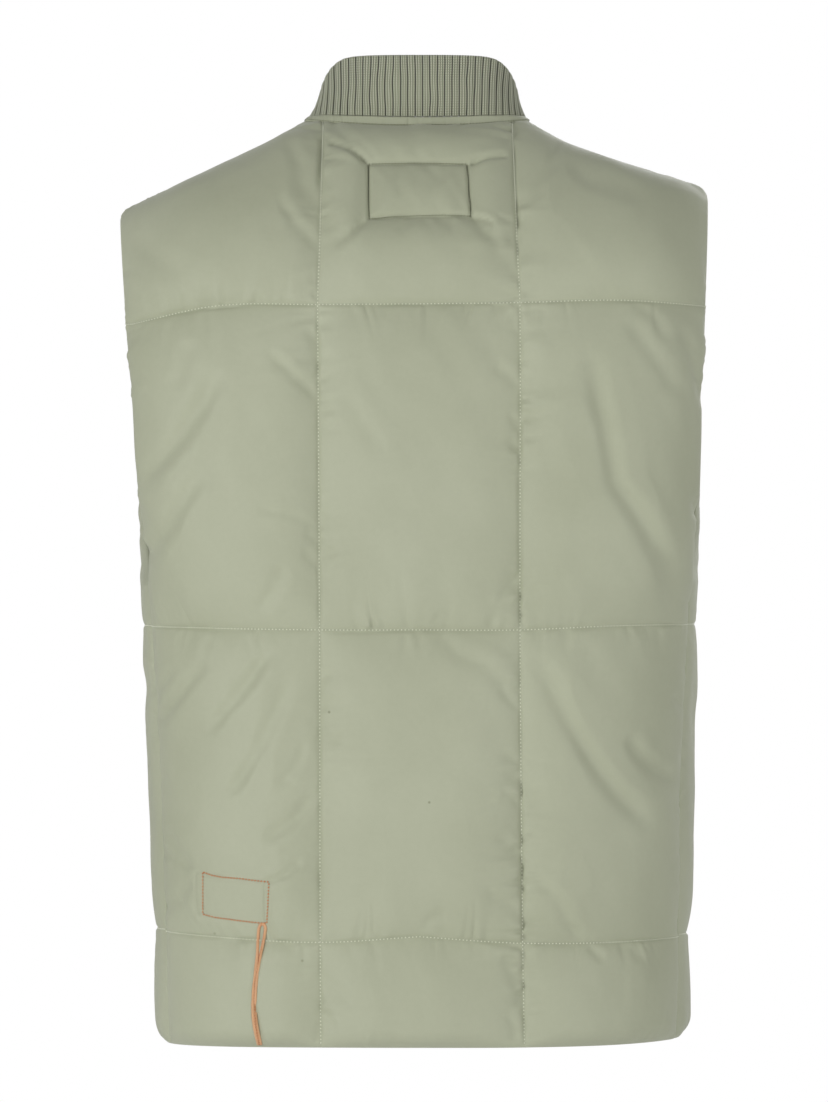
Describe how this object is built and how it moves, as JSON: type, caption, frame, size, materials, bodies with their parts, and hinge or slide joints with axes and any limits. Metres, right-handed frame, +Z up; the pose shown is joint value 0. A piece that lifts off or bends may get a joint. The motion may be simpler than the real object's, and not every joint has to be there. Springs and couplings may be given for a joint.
{
  "type": "puffer vest",
  "caption": "Quilted padded vest without sleeves, with a ribbed stand collar, a front zip and a bound slit at the lower back, filled out as if worn",
  "frame": {"origin": "middle of the neck's base, level with the neck ends of the shoulder seams, where the wearer's shoulders hold the vest", "axes": "+Z up, +X to the wearer's left, +Y out of the back, so the front and its zip face -Y"},
  "size_m": [0.4465, 0.2691, 0.7474],
  "materials": {
    "shell_cloth": "smooth matt nylon with a slight sheen",
    "rib_knit": "matt ribbed cotton knit",
    "orange_binding": "matt woven tape",
    "zip_tape": "matt woven tape",
    "zip_metal": "dull plated metal"
  },
  "bodies": {
    "vest": {"back": "shell_cloth", "front_left": "shell_cloth", "front_right": "shell_cloth", "neck_band": "shell_cloth", "rib_collar": "rib_knit", "slit_binding": "orange_binding", "zip_tape_left": "zip_tape", "zip_tape_right": "zip_tape", "zip_chain": "zip_metal", "zip_box": "zip_metal", "zip_slider": "zip_metal"},
    "pull": {"zip_pull": "zip_metal"}
  },
  "joints": [
    {"name": "pull_swing", "type": "hinge", "parent": "vest", "child": "pull", "pos_m": [0, -0.09102, -0.08074], "axis": [-1, 0, 0], "range_deg": [0, 110]}
  ]
}
